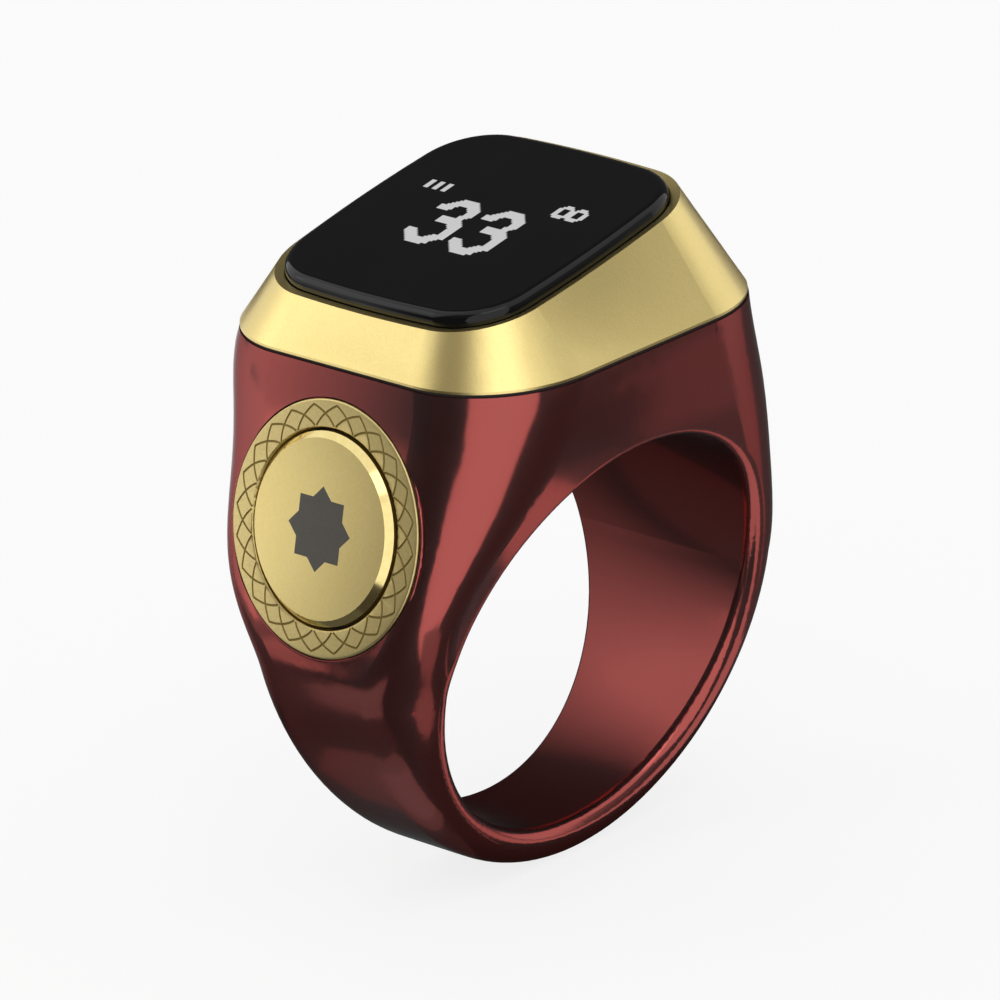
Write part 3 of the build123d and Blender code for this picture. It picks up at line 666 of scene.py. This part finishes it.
def white_floor():
    """A matt white board that keeps the object's shadow."""
    bpy.ops.object.select_all(action="DESELECT")
    bpy.ops.mesh.primitive_plane_add(size=FLOOR_SIZE, location=(0, 0, FLOOR_LEVEL))
    floor = bpy.context.object
    floor.name = "studio_floor"
    made, tree = new_material("matt_white_board")
    plain = add(tree, "ShaderNodeBsdfDiffuse", {"Color": linear("#f0f0f0")}).outputs[0]
    shaded = add(tree, "ShaderNodeBsdfDiffuse", {"Color": linear("#808080")}).outputs[0]
    glow = add(tree, "ShaderNodeEmission", {"Color": linear("#ffffff"), "Strength": FLOOR_GLOW}).outputs[0]
    lit = add(tree, "ShaderNodeAddShader", {0: shaded, 1: glow}).outputs[0]
    add(tree, "ShaderNodeOutputMaterial", {"Surface": seen_white(tree, plain, lit)})
    floor.data.materials.append(made)


def white_surround():
    """Plain light from all round, white where it is seen."""
    world = bpy.data.worlds.new("studio_surround")
    world.use_nodes = True
    tree = world.node_tree
    tree.nodes.clear()
    white = linear("#ffffff")
    plain = add(tree, "ShaderNodeBackground", {"Color": white, "Strength": SURROUND_LIGHT}).outputs[0]
    seen = add(tree, "ShaderNodeBackground", {"Color": white, "Strength": 1.0}).outputs[0]
    add(tree, "ShaderNodeOutputWorld", {"Surface": seen_white(tree, plain, seen)})
    bpy.context.scene.world = world


def towards(azimuth, elevation, distance):
    """The spot at that distance; azimuth 0 is in front of the finger hole, 90 on the +X side."""
    a, e = math.radians(azimuth), math.radians(elevation)
    return Vector((math.sin(a) * math.cos(e), -math.cos(a) * math.cos(e), math.sin(e))) * distance


def soft_box(name, azimuth, elevation, distance, sides, power):
    """A rectangular lamp that looks at the object."""
    spot = towards(azimuth, elevation, distance)
    turn = (-spot).to_track_quat("-Z", "Y").to_euler()
    bpy.ops.object.light_add(type="AREA", location=spot, rotation=turn)
    lamp = bpy.context.object
    lamp.name = name
    lamp.data.shape = "RECTANGLE"
    lamp.data.size, lamp.data.size_y = sides
    lamp.data.energy = power


def painted_reflection(card, name, shades, ramps=(("X", 0.0, 1.0),), glow=1.0):
    """Makes a card glow in a grey, or a run from one grey to another over its width or height, that only
    reflections see: it paints a reflection of light or shade."""
    card.name = name
    made, tree = new_material(name + "_felt")
    colour = linear(shades[0])
    if len(shades) > 1:
        spot = add(tree, "ShaderNodeSeparateXYZ", {0: add(tree, "ShaderNodeTexCoord").outputs["UV"]})
        shares = [add(tree, "ShaderNodeMapRange", {
            "Value": spot.outputs[axis], "From Min": start, "From Max": end}).outputs["Result"]
            for axis, start, end in ramps]
        share = shares[0]
        for other in shares[1:]:
            share = add(tree, "ShaderNodeMath", {0: share, 1: other}, operation="MULTIPLY").outputs[0]
        colour = add(tree, "ShaderNodeMix", {
            "Factor": share, COLOUR_A: linear(shades[0]), COLOUR_B: linear(shades[1])},
            data_type="RGBA").outputs[COLOUR_RESULT]
    light = add(tree, "ShaderNodeEmission", {"Color": colour, "Strength": glow}).outputs[0]
    add(tree, "ShaderNodeOutputMaterial", {"Surface": light})
    card.data.materials.append(made)
    for ray in CARD_RAYS_OFF:
        setattr(card, "visible_" + ray, False)


def floor_card(name, shade, layer, corners, glow=1.0):
    """A card that lies on the floor, or on the cards of the layers below it."""
    bpy.ops.mesh.primitive_circle_add(vertices=len(corners), fill_type="NGON")
    card = bpy.context.object
    for vertex, (x, y) in zip(card.data.vertices, corners):
        vertex.co = (x * MM, y * MM, FLOOR_LEVEL + layer * CARD_STEP)
    painted_reflection(card, name, [shade], glow=glow)


def wall_card(centre, distance, name, shades, azimuths, elevations, glow=1.0):
    """A curved card that stands round a spot, between those bearings and heights in degrees."""
    bpy.ops.mesh.primitive_grid_add(x_subdivisions=16, y_subdivisions=8, size=1)
    card = bpy.context.object
    for vertex in card.data.vertices:
        across, upward = vertex.co.x + 0.5, vertex.co.y + 0.5
        vertex.co = centre + towards(
            azimuths[0] + (azimuths[1] - azimuths[0]) * across,
            elevations[0] + (elevations[1] - elevations[0]) * upward, distance)
    painted_reflection(card, name, shades, glow=glow)


def hole_card():
    """A card that stands behind the finger hole, pale at its upper left and dark at its right and foot; its
    glow paints the light and shade that the bore reflects.
    """
    bpy.ops.mesh.primitive_grid_add(x_subdivisions=8, y_subdivisions=8, size=1)
    card = bpy.context.object
    for vertex in card.data.vertices:
        across, upward = vertex.co.x + 0.5, vertex.co.y + 0.5
        vertex.co = ((HOLE_CARD_LEFT + HOLE_CARD_WIDTH * across) * MM, HOLE_CARD_BACK * MM,
                     FLOOR_LEVEL + HOLE_CARD_HEIGHT * upward * MM)
    painted_reflection(card, "hole_card", HOLE_CARD_SHADES, HOLE_CARD_RAMPS)


white_floor()
white_surround()
for row in SOFT_BOXES:
    soft_box(*row)
for row in FLOOR_CARDS:
    floor_card(*row)
for row in WALL_CARDS:
    wall_card(Vector(), WALL_DISTANCE, *row)
for row in NEAR_CARDS:
    wall_card(BUTTON_CENTRE, NEAR_DISTANCE, *row)
hole_card()


# Camera of the photograph, found by fitting the part's outline: its bearing, height and roll in degrees, the
# spot it looks at, right and up from the middle of the finger hole, and its distance from there, both in mm
CAMERA_AZIMUTH, CAMERA_ELEVATION, CAMERA_ROLL = -43.901, 21.195, -4.581
CAMERA_AIM = (-0.424, 5.05)
CAMERA_DISTANCE = 414.402
SENSOR_WIDTH, LENS = 36.0, 319.09
CLIP_NEAR, CLIP_FAR = 0.01, 20.0


def photo_camera():
    """Places the camera of the photograph."""
    azimuth, roll = math.radians(CAMERA_AZIMUTH), math.radians(CAMERA_ROLL)
    back = towards(CAMERA_AZIMUTH, CAMERA_ELEVATION, 1.0)
    right = Vector((math.cos(azimuth), math.sin(azimuth), 0))
    up = back.cross(right)
    target = (right * CAMERA_AIM[0] + up * CAMERA_AIM[1]) * MM
    turned_right = right * math.cos(roll) + up * math.sin(roll)
    turned_up = up * math.cos(roll) - right * math.sin(roll)
    bpy.ops.object.camera_add()
    camera = bpy.context.object
    camera.data.sensor_width = SENSOR_WIDTH
    camera.data.lens = LENS
    camera.data.clip_start = CLIP_NEAR
    camera.data.clip_end = CLIP_FAR
    camera.matrix_world = frame_at(turned_right, turned_up, back, target + back * CAMERA_DISTANCE * MM)
    bpy.context.scene.camera = camera


photo_camera()
bpy.context.scene.view_settings.view_transform = "Standard"
